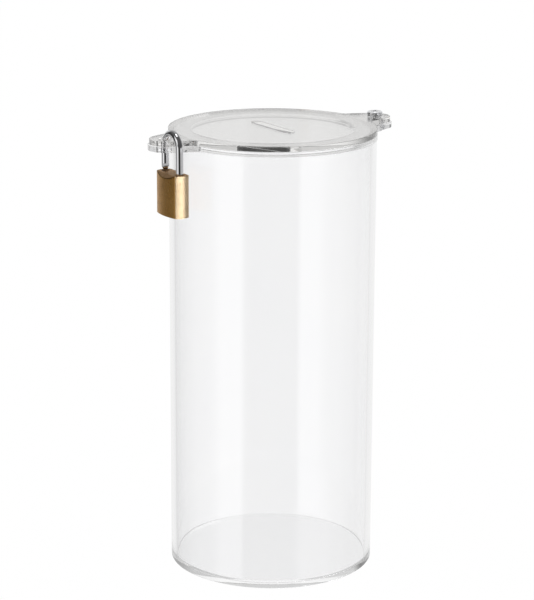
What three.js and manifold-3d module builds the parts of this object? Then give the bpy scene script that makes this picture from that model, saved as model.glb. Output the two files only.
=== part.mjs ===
// Clear cylindrical donation box with a swinging slotted lid and a small padlock.
// Millimetres, +Z up. Origin: centre of the underside of the base.
// The hinge ear points to +X and the lock ear to -X.
import * as THREE from 'three';
import { mergeVertices } from 'three/addons/utils/BufferGeometryUtils.js';
import Module from 'manifold-3d';

const wasm = await Module();
wasm.setup();

// ---------------------------------------------------------------- driving dimensions
const TUBE_R = 50.0;            // outer radius of the tube
const WALL = 3.0;               // wall of the tube
const BASE_T = 3.0;             // base disc
const TUBE_TOP = 211.9;         // top of the tube wall
const PLATE_T = 2.6;            // collar and lid sheet
const DISC_R = 50.3;            // collar and lid disc
const MOUTH_R = 39.5;           // hole in the collar
const LID_GAP = 0.1;            // running gap between collar and lid
const COLLAR_Z0 = TUBE_TOP;
const COLLAR_Z1 = COLLAR_Z0 + PLATE_T;      // 214.5
const LID_Z0 = COLLAR_Z1 + LID_GAP;         // 214.6
const LID_Z1 = LID_Z0 + PLATE_T;            // 217.2

const EAR_C = 57.9;             // centre of an ear's round tip
const EAR_R_LID = 8.5;          // tip radius of the lid's ears
const EAR_R_COLLAR = 9.3;       // tip radius of the collar's ears
const EAR_TAPER = 21;           // half angle of an ear, degrees
const EAR_FILLET = 3.0;         // fillet from an ear into the disc
const HOLE_X = 59.0;            // ear holes
const LOCK_HOLE_R = 3.2;
const HINGE_HOLE_R = 2.2;

const SLOT_L = 35.0;            // coin slot, along Y
const SLOT_W = 5.0;

const SCREW_R = 2.0;            // M4 hinge screw
const SCREW_HEAD_R = 3.85;
const SCREW_HEAD_H = 2.5;
const NUT_AF = 7.0;             // thin M4 nut
const NUT_H = 2.2;

// padlock
const LOCK_X = -58.85;          // middle plane of the shackle
const LEG_R = 1.8;
const LEG_GAP = 13.6;           // distance between the leg axes
const TOE_Y = 0.3;
const HEEL_Y = TOE_Y - LEG_GAP;             // -13.3
const ARCH_TOP = 222.2;
const ARCH_R = LEG_GAP / 2;
const ARCH_Z = ARCH_TOP - LEG_R - ARCH_R;   // centre of the arch
const CASE_Z0 = 181.85;
const CASE_Z1 = 202.1;
const CASE_Y = -6.6;            // middle of the case
const CASE_A = 8.8;             // half width to the corners
const CASE_H = 3.65;            // half thickness at the corners
const CASE_CROWN = 1.05;        // outward crown of the narrow sides
const CASE_BELLY = 1.2;         // outward crown of the broad sides
const CASE_CORNER = 0.9;
const CASE_SLOPE = Math.tan(THREE.MathUtils.degToRad(60));   // fall of the facet above each broad side
const CASE_Y1 = CASE_Y + CASE_A + CASE_CROWN;
const TRAVEL = 5.6;             // how far the case pushes up to close
const TOE_TIP_Z = 202.5;
const NOTCH_Z0 = 204.1;
const NOTCH_Z1 = 205.5;
const NOTCH_DEPTH = 1.0;
const LEG_BORE_R = 2.1;
const TOE_BORE_Z = 196.5;
const HEEL_BORE_Z = 184.7;
const HEEL_END_Z = 193.4;
const HEEL_COLLAR_Z = 194.4;
const NECK_Z1 = 201.6;
const NECK_R = 1.0;

const PLUG_Y = -6.0;            // cylinder axis
const PLUG_R = 2.5;
const PLUG_BORE_R = 2.75;
const PLUG_Z0 = 182.1;
const PLUG_Z1 = 197.5;
const BOLT_Z0 = 198.6;
const BOLT_Z1 = 199.8;
const BOLT_THROW = 1.3;
const KEY_ANGLE = 75;           // turn of the cylinder, degrees
const CAM_E = BOLT_THROW / 2 / Math.sin(THREE.MathUtils.degToRad(KEY_ANGLE / 2));
const CAM_R = 0.45;
const PIN_R = 0.75;
const CHAMBER_R = 0.87;
const PIN_Z = [184.5, 187.3, 190.1, 192.9];
const PIN_LEN = [1.3, 1.75, 1.5, 1.95];     // key pins, all different as a key is cut

// ---------------------------------------------------------------- finishes
const mat = (color, roughness, metalness, opacity = 1) =>
  new THREE.MeshStandardMaterial({ color, roughness, metalness, opacity, transparent: opacity < 1 });
const ACRYLIC = () => mat(0xeef1f4, 0.06, 0.0, 0.3);
const BRASS = () => mat(0xb08d4f, 0.35, 1.0);
const CHROME = () => mat(0xd8dade, 0.08, 1.0);
const STEEL = () => mat(0x9a9da1, 0.3, 1.0);

// ---------------------------------------------------------------- helpers
// closed geometry -> solid
function solid(geometry) {
  let g = geometry.clone();
  g.deleteAttribute('normal');
  g.deleteAttribute('uv');
  g = mergeVertices(g, 1e-5);
  const p = g.attributes.position.array;
  const idx = Array.from(g.index.array);
  const tri = [];
  let vol = 0;
  for (let i = 0; i < idx.length; i += 3) {
    const [a, b, c] = [idx[i], idx[i + 1], idx[i + 2]];
    if (a === b || b === c || a === c) continue;
    tri.push(a, b, c);
    const A = [p[3 * a], p[3 * a + 1], p[3 * a + 2]];
    const B = [p[3 * b], p[3 * b + 1], p[3 * b + 2]];
    const C = [p[3 * c], p[3 * c + 1], p[3 * c + 2]];
    vol += A[0] * (B[1] * C[2] - B[2] * C[1]) - A[1] * (B[0] * C[2] - B[2] * C[0]) + A[2] * (B[0] * C[1] - B[1] * C[0]);
  }
  if (vol < 0) for (let i = 0; i < tri.length; i += 3) [tri[i + 1], tri[i + 2]] = [tri[i + 2], tri[i + 1]];
  return new wasm.Manifold(new wasm.Mesh({ numProp: 3, vertProperties: new Float32Array(p), triVerts: new Uint32Array(tri) }));
}

// solid -> geometry
function geometryOf(body) {
  const m = body.getMesh();
  const g = new THREE.BufferGeometry();
  g.setAttribute('position', new THREE.BufferAttribute(new Float32Array(m.vertProperties), 3));
  g.setIndex(new THREE.BufferAttribute(new Uint32Array(m.triVerts), 1));
  g.computeVertexNormals();
  return g;
}

const move = (g, x = 0, y = 0, z = 0) => g.translate(x, y, z);

// outline in XY raised from z0 to z1
function raised(shape, z0, z1, curveSegments = 24) {
  return move(new THREE.ExtrudeGeometry(shape, { depth: z1 - z0, bevelEnabled: false, curveSegments }), 0, 0, z0);
}

function circleShape(r, n = 48, x = 0, y = 0) {
  const s = new THREE.Shape();
  for (let i = 0; i < n; i++) {
    const a = (i / n) * 2 * Math.PI;
    const [px, py] = [x + r * Math.cos(a), y + r * Math.sin(a)];
    if (i) s.lineTo(px, py);
    else s.moveTo(px, py);
  }
  s.closePath();
  return s;
}

// round bar along Z
const bar = (r, z0, z1, x = 0, y = 0, n = 32) => solid(raised(circleShape(r, n, x, y), z0, z1));

// profile of [radius, height] pairs turned about a vertical axis
function turned(profile, n = 48, x = 0, y = 0) {
  const g = new THREE.LatheGeometry(profile.map(([r, h]) => new THREE.Vector2(r, h)), n);
  g.rotateX(Math.PI / 2);
  return solid(move(g, x, y, 0));
}

// round bar along Y, between two y values
function barY(r, y0, y1, x, z, n = 16) {
  const g = new THREE.CylinderGeometry(r, r, y1 - y0, n);
  return solid(move(g, x, (y0 + y1) / 2, z));
}

// round bar along X
function barX(r, x0, x1, y, z, n = 16) {
  const g = new THREE.CylinderGeometry(r, r, x1 - x0, n);
  g.rotateZ(Math.PI / 2);
  return solid(move(g, (x0 + x1) / 2, y, z));
}

function block(x0, x1, y0, y1, z0, z1) {
  return solid(move(new THREE.BoxGeometry(x1 - x0, y1 - y0, z1 - z0), (x0 + x1) / 2, (y0 + y1) / 2, (z0 + z1) / 2));
}

// helix of round wire, with flat-laid end turns
class Coil extends THREE.Curve {
  constructor(r, h, turns) {
    super();
    this.r = r;
    this.h = h;
    this.turns = turns;
  }
  getPoint(t, target = new THREE.Vector3()) {
    const a = t * this.turns * 2 * Math.PI;
    const lay = 0.5 / this.turns; // half a turn laid nearly flat at each end
    const s = THREE.MathUtils.clamp((t - lay) / (1 - 2 * lay), 0, 1);
    return target.set(this.r * Math.cos(a), this.r * Math.sin(a), this.h * (0.03 * t + 0.97 * s));
  }
}

function spring(r, wire, length, turns, steps = 10, sides = 5) {
  const coil = new Coil(r, length - 2 * wire, turns);
  const g = new THREE.ExtrudeGeometry(circleShape(wire, sides), { steps: Math.round(turns * steps), bevelEnabled: false, extrudePath: coil, curveSegments: sides });
  g.computeBoundingBox();
  const { min, max } = g.boundingBox;
  g.translate(0, 0, -min.z);
  g.scale(1, 1, length / (max.z - min.z));
  return g;
}

const group = new THREE.Group();
group.name = 'donation_box';

function add(name, body, material, parent = group) {
  const mesh = new THREE.Mesh(body instanceof THREE.BufferGeometry ? body : geometryOf(body), material);
  mesh.name = name;
  parent.add(mesh);
  return mesh;
}

// ---------------------------------------------------------------- plate with two ears
// A disc with a tapered, round-tipped ear on +X and on -X, each filleted into it.
function earedPlate(tipR) {
  const taper = THREE.MathUtils.degToRad(EAR_TAPER);
  // flank: touches the tip arc at T and leaves it at the taper angle
  const T = [EAR_C + tipR * Math.sin(taper), tipR * Math.cos(taper)];
  const nrm = [Math.sin(taper), Math.cos(taper)];       // outward normal of the flank
  // fillet centre: EAR_FILLET off the flank and off the disc
  const d = nrm[0] * T[0] + nrm[1] * T[1] + EAR_FILLET;
  const R = DISC_R + EAR_FILLET;
  const q = Math.sqrt(R * R - d * d);
  const F = [d * nrm[0] + q * nrm[1], d * nrm[1] - q * nrm[0]];
  const onFlank = [F[0] - EAR_FILLET * nrm[0], F[1] - EAR_FILLET * nrm[1]];
  const discAngle = Math.atan2(F[1], F[0]);
  const pts = [];
  const arc = (cx, cy, r, a0, a1, n) => {
    for (let i = 0; i <= n; i++) {
      const a = a0 + ((a1 - a0) * i) / n;
      pts.push([cx + r * Math.cos(a), cy + r * Math.sin(a)]);
    }
  };
  // upper half, from the +X tip to the -X tip
  const tipEnd = Math.PI / 2 - taper;
  arc(EAR_C, 0, tipR, 0, tipEnd, 10);
  pts.push(onFlank);
  const fa0 = Math.atan2(onFlank[1] - F[1], onFlank[0] - F[0]);
  const fa1 = Math.atan2(-F[1], -F[0]);
  arc(F[0], F[1], EAR_FILLET, fa0, fa1, 4);
  arc(0, 0, DISC_R, discAngle, Math.PI - discAngle, 44);
  const half = pts.slice();
  const upperLeft = half.filter(([x]) => x > 0).map(([x, y]) => [-x, y]).reverse();
  const upper = half.filter(([x]) => x >= -1e-9);
  const left = upperLeft.filter(([x]) => x < -1e-9);
  const top = upper.concat(left);
  const bottom = top.slice(1, -1).map(([x, y]) => [x, -y]).reverse();
  const ring = top.concat(bottom);
  const clean = [];
  for (const p of ring) {
    const last = clean[clean.length - 1];
    if (!last || Math.hypot(p[0] - last[0], p[1] - last[1]) > 1e-4) clean.push(p);
  }
  const s = new THREE.Shape();
  clean.forEach(([x, y], i) => (i ? s.lineTo(x, y) : s.moveTo(x, y)));
  s.closePath();
  return s;
}

function slotShape(length, width, n = 8) {
  const r = width / 2;
  const h = length / 2 - r;
  const s = new THREE.Shape();
  for (let i = 0; i <= n; i++) {
    const a = (Math.PI * i) / n;
    const p = [r * Math.cos(a), h + r * Math.sin(a)];
    if (i) s.lineTo(...p);
    else s.moveTo(...p);
  }
  for (let i = 0; i <= n; i++) {
    const a = Math.PI + (Math.PI * i) / n;
    s.lineTo(r * Math.cos(a), -h + r * Math.sin(a));
  }
  s.closePath();
  return s;
}

// ---------------------------------------------------------------- vessel
add('base_plate', bar(TUBE_R, 0, BASE_T, 0, 0, 96), ACRYLIC());

const wall = raised((() => {
  const s = circleShape(TUBE_R, 96);
  s.holes.push(circleShape(TUBE_R - WALL, 96));
  return s;
})(), BASE_T, TUBE_TOP);
add('tube_wall', solid(wall), ACRYLIC());

const through = [COLLAR_Z0 - 1, LID_Z1 + 1];
const lockHole = bar(LOCK_HOLE_R, ...through, -HOLE_X, 0, 32);
const hingeHole = bar(HINGE_HOLE_R, ...through, HOLE_X, 0, 32);
const mouth = bar(MOUTH_R, ...through, 0, 0, 96);
const slot = solid(raised(slotShape(SLOT_L, SLOT_W), ...through));

add('collar_ring',
  solid(raised(earedPlate(EAR_R_COLLAR), COLLAR_Z0, COLLAR_Z1)).subtract(mouth).subtract(lockHole).subtract(hingeHole),
  ACRYLIC());
add('lid_plate',
  solid(raised(earedPlate(EAR_R_LID), LID_Z0, LID_Z1)).subtract(slot).subtract(lockHole).subtract(hingeHole),
  ACRYLIC());

// hinge screw: pan head with a cross recess, shank down to just past the nut
const screwBody = turned([
  [0, COLLAR_Z0 - NUT_H - 1.3],
  [1.6, COLLAR_Z0 - NUT_H - 1.3],
  [1.9, COLLAR_Z0 - NUT_H - 1.0],
  [1.9, LID_Z1],
  [SCREW_HEAD_R, LID_Z1],
  [SCREW_HEAD_R - 0.1, LID_Z1 + 1.2],
  [SCREW_HEAD_R - 0.55, LID_Z1 + 1.95],
  [SCREW_HEAD_R - 1.6, LID_Z1 + 2.35],
  [0, LID_Z1 + SCREW_HEAD_H],
], 32, HOLE_X, 0);
const cross = block(HOLE_X - 2.0, HOLE_X + 2.0, -0.4, 0.4, LID_Z1 + 1.0, LID_Z1 + 4)
  .add(block(HOLE_X - 0.4, HOLE_X + 0.4, -2.0, 2.0, LID_Z1 + 1.0, LID_Z1 + 4));
add('hinge_screw', screwBody.subtract(cross), CHROME());

const nutShape = circleShape(NUT_AF / Math.sqrt(3), 6);
nutShape.holes.push(circleShape(SCREW_R + 0.1, 32));
add('hinge_nut', solid(raised(nutShape, COLLAR_Z0 - NUT_H, COLLAR_Z0)), CHROME()).position.set(HOLE_X, 0, 0);

// ---------------------------------------------------------------- padlock shackle
class ShackleLine extends THREE.Curve {
  constructor(z0, z1) {
    super();
    this.a = ARCH_Z - z0;
    this.b = Math.PI * ARCH_R;
    this.c = ARCH_Z - z1;
    this.z0 = z0;
    this.z1 = z1;
  }
  getPoint(t, target = new THREE.Vector3()) {
    const s = t * (this.a + this.b + this.c);
    if (s < this.a) return target.set(LOCK_X, TOE_Y, this.z0 + s);
    if (s < this.a + this.b) {
      const w = (s - this.a) / ARCH_R;
      return target.set(LOCK_X, TOE_Y - ARCH_R + ARCH_R * Math.cos(w), ARCH_Z + ARCH_R * Math.sin(w));
    }
    return target.set(LOCK_X, HEEL_Y, ARCH_Z - (s - this.a - this.b));
  }
}
const TIP_Z = TOE_TIP_Z + 1.3;
const bow = solid(new THREE.ExtrudeGeometry(circleShape(LEG_R, 16), {
  steps: 36, bevelEnabled: false, extrudePath: new ShackleLine(TIP_Z - 0.2, NECK_Z1), curveSegments: 20,
}));
const toeTip = turned([[0, TOE_TIP_Z], [1.05, TOE_TIP_Z], [LEG_R - 0.02, TIP_Z], [LEG_R - 0.02, TIP_Z + 0.3], [0, TIP_Z + 0.3]], 20, LOCK_X, TOE_Y);
const heel = turned([
  [0, HEEL_END_Z], [LEG_R - 0.25, HEEL_END_Z], [LEG_R, HEEL_END_Z + 0.25], [LEG_R, HEEL_COLLAR_Z], [NECK_R, HEEL_COLLAR_Z],
  [NECK_R, NECK_Z1 + 0.4], [0, NECK_Z1 + 0.4],
], 20, LOCK_X, HEEL_Y);
const notch = block(LOCK_X - 3, LOCK_X + 3, TOE_Y - LEG_R - 1, TOE_Y - LEG_R + NOTCH_DEPTH, NOTCH_Z0, NOTCH_Z1);
add('padlock_shackle', bow.add(toeTip).add(heel).subtract(notch), CHROME());

// ---------------------------------------------------------------- padlock case
function caseShape() {
  const s = new THREE.Shape();
  const pts = [];
  const side = (n, at) => {
    for (let i = 1; i < n; i++) pts.push(at(-1 + (2 * i) / n));
  };
  // corner (sx, sy) between the ends of two crowned sides, walked counter-clockwise
  const corner = (sx, sy) => {
    const v = [sx * CASE_H, sy * CASE_A];
    const broad = new THREE.Vector2(sx * 2 * CASE_BELLY, -sy * CASE_A).normalize();
    const narrow = new THREE.Vector2(-sx * CASE_H, sy * 2 * CASE_CROWN).normalize();
    const half = Math.acos(broad.dot(narrow)) / 2;
    const cut = CASE_CORNER / Math.tan(half);
    const mid = broad.clone().add(narrow).normalize().multiplyScalar(CASE_CORNER / Math.sin(half));
    const c = [v[0] + mid.x, v[1] + mid.y];
    const ends = [broad, narrow].map((t) => Math.atan2(v[1] + cut * t.y - c[1], v[0] + cut * t.x - c[0]));
    let [a0, a1] = sx * sy > 0 ? ends : [ends[1], ends[0]];
    if (a1 < a0) a1 += 2 * Math.PI;
    for (let i = 0; i <= 4; i++) {
      const a = a0 + ((a1 - a0) * i) / 4;
      pts.push([c[0] + CASE_CORNER * Math.cos(a), c[1] + CASE_CORNER * Math.sin(a)]);
    }
  };
  side(14, (t) => [CASE_H + CASE_BELLY * (1 - t * t), CASE_A * t]);
  corner(1, 1);
  side(8, (t) => [-CASE_H * t, CASE_A + CASE_CROWN * (1 - t * t)]);
  corner(-1, 1);
  side(14, (t) => [-CASE_H - CASE_BELLY * (1 - t * t), -CASE_A * t]);
  corner(-1, -1);
  side(8, (t) => [CASE_H * t, -CASE_A - CASE_CROWN * (1 - t * t)]);
  corner(1, -1);
  pts.forEach(([x, y], i) => (i ? s.lineTo(LOCK_X + x, CASE_Y + y) : s.moveTo(LOCK_X + x, CASE_Y + y)));
  s.closePath();
  return s;
}
const EDGE = 0.25;
const caseGeometry = new THREE.ExtrudeGeometry(caseShape(), {
  depth: CASE_Z1 - CASE_Z0 - 2 * EDGE, bevelEnabled: true, bevelThickness: EDGE, bevelSize: EDGE, bevelOffset: -EDGE, bevelSegments: 1,
});
caseGeometry.translate(0, 0, CASE_Z0 + EDGE);
// what the sloping facet above a broad side takes off, drawn in XZ and raised along Y
function facetWaste(side) {
  const s = new THREE.Shape();
  s.moveTo(LOCK_X + side * (CASE_H - 1 / CASE_SLOPE), CASE_Z1 + 1);
  s.lineTo(LOCK_X + side * (CASE_H + 2), CASE_Z1 + 1);
  s.lineTo(LOCK_X + side * (CASE_H + 2), CASE_Z1 - 2 * CASE_SLOPE);
  s.closePath();
  const g = new THREE.ExtrudeGeometry(s, { depth: 24, bevelEnabled: false });
  g.applyMatrix4(new THREE.Matrix4().set(1, 0, 0, 0, 0, 0, -1, CASE_Y + 12, 0, 1, 0, 0, 0, 0, 0, 1));
  return solid(g);
}
let lockCase = solid(caseGeometry)
  .subtract(facetWaste(1))
  .subtract(facetWaste(-1))
  .subtract(bar(LEG_BORE_R, TOE_BORE_Z, CASE_Z1 + 1, LOCK_X, TOE_Y, 24))
  .subtract(bar(LEG_BORE_R, HEEL_BORE_Z, CASE_Z1 + 1, LOCK_X, HEEL_Y, 24))
  .subtract(bar(PLUG_BORE_R, CASE_Z0 - 1, BOLT_Z1 + 0.5, LOCK_X, PLUG_Y, 32))
  // way of the bolt from the cylinder bore to the toe bore
  .subtract(block(LOCK_X - 1.6, LOCK_X + 1.6, PLUG_Y + 1.5, TOE_Y - 1.2, BOLT_Z0 - 0.25, BOLT_Z1 + 0.25))
  // pocket of the bolt's spring
  .subtract(barY(0.85, PLUG_Y - PLUG_BORE_R - 1.6, PLUG_Y - 1.5, LOCK_X, (BOLT_Z0 + BOLT_Z1) / 2, 16));
for (const z of PIN_Z) lockCase = lockCase.subtract(barY(CHAMBER_R, PLUG_Y + 1, CASE_Y1 + 1, LOCK_X, z, 16));
// cross holes of the two retaining pins, open on the inner face
const HEEL_PIN_Y = HEEL_Y + NECK_R + 0.2 + 0.6;
const HEEL_PIN_Z = HEEL_COLLAR_Z + 0.2 + 0.6;
const PLUG_PIN_Y = PLUG_Y - PLUG_R + 0.1;
const PLUG_PIN_Z = 195.9;
lockCase = lockCase
  .subtract(barX(0.7, LOCK_X - 2.4, LOCK_X + CASE_H + 3, HEEL_PIN_Y, HEEL_PIN_Z))
  .subtract(barX(0.6, LOCK_X - 2.4, LOCK_X + CASE_H + 3, PLUG_PIN_Y, PLUG_PIN_Z));
// outer ends of the two pins, just under the crowned side
const pinEnd = (y) => CASE_H + CASE_BELLY * (1 - ((y - CASE_Y) / CASE_A) ** 2) - 0.12;
add('padlock_case', lockCase, BRASS());
add('heel_retaining_pin', barX(0.6, LOCK_X - 2.2, LOCK_X + pinEnd(HEEL_PIN_Y), HEEL_PIN_Y, HEEL_PIN_Z, 12), STEEL());
add('plug_retaining_pin', barX(0.5, LOCK_X - 2.2, LOCK_X + pinEnd(PLUG_PIN_Y), PLUG_PIN_Y, PLUG_PIN_Z, 12), STEEL());

// spring under the heel of the shackle
add('shackle_spring', spring(1.3, 0.2, HEEL_END_Z - HEEL_BORE_Z - 0.2, 6), STEEL()).position.set(LOCK_X, HEEL_Y, HEEL_BORE_Z + 0.1);

// ---------------------------------------------------------------- lock cylinder
// built with the key home, then turned to the open position it rests in
const cylinder = new THREE.Group();
cylinder.position.set(LOCK_X, PLUG_Y, 0);
cylinder.rotation.z = THREE.MathUtils.degToRad(-KEY_ANGLE);
group.add(cylinder);

const camAngle = THREE.MathUtils.degToRad(KEY_ANGLE / 2);
let plug = turned([
  [0, PLUG_Z0], [PLUG_R - 0.15, PLUG_Z0], [PLUG_R, PLUG_Z0 + 0.15],
  [PLUG_R, PLUG_PIN_Z - 0.7], [PLUG_R - 0.65, PLUG_PIN_Z - 0.7], [PLUG_R - 0.65, PLUG_PIN_Z + 0.7], [PLUG_R, PLUG_PIN_Z + 0.7],
  [PLUG_R, PLUG_Z1], [0, PLUG_Z1],
], 32);
plug = plug.add(bar(CAM_R, PLUG_Z1 - 0.5, BOLT_Z1 - 0.1, CAM_E * Math.cos(camAngle), CAM_E * Math.sin(camAngle), 12));
// keyway, with a side ward
plug = plug.subtract(block(-0.45, 0.45, -1.7, 1.5, PLUG_Z0 - 1, PIN_Z[3] + 1.3))
  .subtract(block(-0.2, 0.95, -0.9, -0.35, PLUG_Z0 - 1, PIN_Z[3] + 1.3));
for (const z of PIN_Z) plug = plug.subtract(barY(CHAMBER_R, 0.2, PLUG_R + 1, 0, z, 16));
add('cylinder_plug', plug, BRASS(), cylinder);
PIN_Z.forEach((z, i) => {
  // key pin: flat at the shear line, pointed towards the key
  const top = PLUG_R - 0.12;
  const g = new THREE.LatheGeometry([[0, 0], [0.2, 0], [PIN_R, 0.45], [PIN_R, PIN_LEN[i]], [0, PIN_LEN[i]]].map(([r, h]) => new THREE.Vector2(r, h)), 12);
  g.translate(0, top - PIN_LEN[i], z);
  add(`key_pin_${i + 1}`, solid(g), BRASS(), cylinder);
});

// driver pins, springs and plugs of the four chambers, in the case
PIN_Z.forEach((z, i) => {
  const y0 = PLUG_Y + PLUG_BORE_R + 0.08;
  add(`driver_pin_${i + 1}`, barY(PIN_R, y0, y0 + 1.9, LOCK_X, z, 12), STEEL());
  const s = spring(0.5, 0.12, CASE_Y1 - 1.35 - (y0 + 2.0), 4, 8, 4);
  s.rotateX(-Math.PI / 2);
  add(`pin_spring_${i + 1}`, s, STEEL()).position.set(LOCK_X, y0 + 2.0, z);
  add(`chamber_plug_${i + 1}`, barY(0.8, CASE_Y1 - 1.25, CASE_Y1 - 0.07, LOCK_X, z, 16), BRASS());
});

// ---------------------------------------------------------------- bolt, drawn back
const BOLT_TIP = TOE_Y - LEG_BORE_R - 0.3;          // just out of the toe bore
const camBack = PLUG_Y - BOLT_THROW / 2;
const boltBody = block(LOCK_X - 2.0, LOCK_X + 2.0, camBack - 1.09, camBack + 1.09, BOLT_Z0, BOLT_Z1)
  .add(block(LOCK_X - 1.4, LOCK_X + 1.4, camBack, BOLT_TIP, BOLT_Z0, BOLT_Z1))
  .subtract(block(LOCK_X + 0.25, LOCK_X + 1.68, camBack - 0.56, camBack + 0.56, BOLT_Z0 - 1, BOLT_Z1 + 1))
  // sloped nose
  .subtract(solid((() => {
    const s = new THREE.Shape();
    s.moveTo(BOLT_TIP + 0.1, BOLT_Z1 + 0.1);
    s.lineTo(BOLT_TIP - 0.8, BOLT_Z1 + 0.1);
    s.lineTo(BOLT_TIP + 0.1, BOLT_Z0 + 0.3);
    s.closePath();
    const g = new THREE.ExtrudeGeometry(s, { depth: 4, bevelEnabled: false });
    // drawn in YZ, raised along X
    g.applyMatrix4(new THREE.Matrix4().set(0, 0, 1, LOCK_X - 2, 1, 0, 0, 0, 0, 1, 0, 0, 0, 0, 0, 1));
    return g;
  })()));
add('latch_bolt', boltBody, STEEL());

const boltSpring = spring(0.5, 0.12, 1.5, 3, 8, 5);
boltSpring.rotateX(-Math.PI / 2);
add('latch_spring', boltSpring, STEEL()).position.set(LOCK_X, PLUG_Y - PLUG_BORE_R - 0.5 - 1.0, (BOLT_Z0 + BOLT_Z1) / 2);

export default group;
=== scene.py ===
"""Clear cylindrical donation box with an eared, slotted lid and a small brass padlock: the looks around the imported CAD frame.

Everything is drawn in millimetres and scaled to metres once, in the frame of the CAD model: +Z up the tube, +X to the hinge ear, -X to the lock ear, coin slot along Y.
"""
import bpy
import bmesh
import math
from mathutils import Matrix, Vector
from mathutils.geometry import tessellate_polygon

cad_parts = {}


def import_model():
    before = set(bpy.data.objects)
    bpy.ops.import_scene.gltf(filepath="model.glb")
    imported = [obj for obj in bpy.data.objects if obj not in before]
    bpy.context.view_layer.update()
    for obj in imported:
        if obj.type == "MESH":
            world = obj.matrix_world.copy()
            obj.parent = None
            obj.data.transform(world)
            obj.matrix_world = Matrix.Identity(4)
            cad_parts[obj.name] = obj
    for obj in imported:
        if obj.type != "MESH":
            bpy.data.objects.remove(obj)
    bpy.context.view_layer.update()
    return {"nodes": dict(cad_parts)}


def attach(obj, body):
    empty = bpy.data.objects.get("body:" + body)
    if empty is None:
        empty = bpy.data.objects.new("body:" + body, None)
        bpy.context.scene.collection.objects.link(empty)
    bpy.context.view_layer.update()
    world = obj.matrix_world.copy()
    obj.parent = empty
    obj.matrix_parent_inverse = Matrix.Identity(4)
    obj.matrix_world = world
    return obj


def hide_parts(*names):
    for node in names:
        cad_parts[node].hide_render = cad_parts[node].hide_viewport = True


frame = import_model()

MM = 0.001

# ------------------------------------------------------------------ dimensions, as in the CAD model
TUBE_R, WALL, BASE_T, TUBE_TOP, PLATE_T = 50.0, 3.0, 3.0, 211.9, 2.6
INNER_R = TUBE_R - WALL
DISC_R, MOUTH_R, LID_GAP = 50.3, 39.5, 0.1
COLLAR_Z0, COLLAR_Z1 = TUBE_TOP, TUBE_TOP + PLATE_T
LID_Z0, LID_Z1 = COLLAR_Z1 + LID_GAP, COLLAR_Z1 + LID_GAP + PLATE_T
EAR_C, EAR_R_LID, EAR_R_COLLAR, EAR_TAPER, EAR_FILLET = 57.9, 8.5, 9.3, math.radians(21), 3.0
HOLE_X, LOCK_HOLE_R, HINGE_HOLE_R = 59.0, 3.2, 2.2
SLOT_L, SLOT_W = 35.0, 5.0
SCREW_HEAD_R = 3.85
NUT_AF, NUT_H = 7.0, 2.2
LOCK_X, LEG_R, TOE_Y, HEEL_Y, ARCH_TOP = -58.85, 1.8, 0.3, -13.3, 222.2
ARCH_R = (TOE_Y - HEEL_Y) / 2
ARCH_Z = ARCH_TOP - LEG_R - ARCH_R
CASE_Z0, CASE_Z1, CASE_Y, CASE_A, CASE_H = 181.85, 202.1, -6.6, 8.8, 3.65
CASE_CROWN, CASE_BELLY, CASE_CORNER = 1.05, 1.2, 0.9
CASE_SLOPE = math.tan(math.radians(60))
CASE_Y1 = CASE_Y + CASE_A + CASE_CROWN
PLUG_Y = -6.0
PIN_Z = (184.5, 187.3, 190.1, 192.9)
HEEL_PIN_Y, HEEL_PIN_Z, PLUG_PIN_Y, PLUG_PIN_Z = HEEL_Y + 1.8, 195.2, PLUG_Y - 2.4, 195.9


# ------------------------------------------------------------------ mesh helpers
class Skin:
    """Vertices in millimetres with a stated normal each, joined ring by ring into one closed surface."""

    def __init__(self):
        self.v, self.n, self.f = [], [], []

    def ring(self, points, normals):
        first = len(self.v)
        self.v += [Vector(p) for p in points]
        self.n += [Vector(q).normalized() for q in normals]
        return list(range(first, len(self.v)))

    def _face(self, ids):
        # wound so that it faces the way its corners' normals point
        a, b, c = (self.v[i] for i in ids[:3])
        flat = (b - a).cross(c - a)
        if len(ids) == 4:
            flat += (self.v[ids[2]] - self.v[ids[0]]).cross(self.v[ids[3]] - self.v[ids[0]])
        lean = sum((self.n[i] for i in ids), Vector())
        self.f.append(tuple(ids) if flat.dot(lean) >= 0 else tuple(reversed(ids)))

    def band(self, a, b):
        n = len(a)
        for i in range(n):
            j = (i + 1) % n
            self._face([a[i], a[j], b[j], b[i]])

    def cap(self, loops, up):
        """Flat face bounded by loops of existing vertices, filled with triangles that share those vertices and their
        normals.
        """
        flat_ids = [i for loop in loops for i in loop]
        triangles = tessellate_polygon([[Vector((self.v[i].x, self.v[i].y, 0)) for i in loop] for loop in loops])
        for t in triangles:
            ids = [flat_ids[k] for k in t]
            a, b, c = (self.v[i] for i in ids)
            if (b - a).cross(c - a).z * up < 0:
                ids.reverse()
            self.f.append(tuple(ids))

    def fan(self, loop, z, up):
        """Flat disc inside a loop."""
        c = self.ring([(sum(self.v[i].x for i in loop) / len(loop), sum(self.v[i].y for i in loop) / len(loop), z)], [(0, 0, up)])[0]
        for i in range(len(loop)):
            self._face([loop[i], loop[(i + 1) % len(loop)], c])

    def make(self, name):
        me = bpy.data.meshes.new(name)
        me.from_pydata([v * MM for v in self.v], [], self.f)
        for p in me.polygons:
            p.use_smooth = True
        me.validate()
        me.normals_split_custom_set_from_vertices([tuple(n) for n in self.n])
        me.update()
        o = bpy.data.objects.new(name, me)
        bpy.context.scene.collection.objects.link(o)
        return o


def circle(r, n, cx=0.0, cy=0.0):
    """Points of a circle with their outward directions."""
    out = []
    for i in range(n):
        a = 2 * math.pi * i / n
        out.append((cx + r * math.cos(a), cy + r * math.sin(a), math.cos(a), math.sin(a)))
    return out


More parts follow.
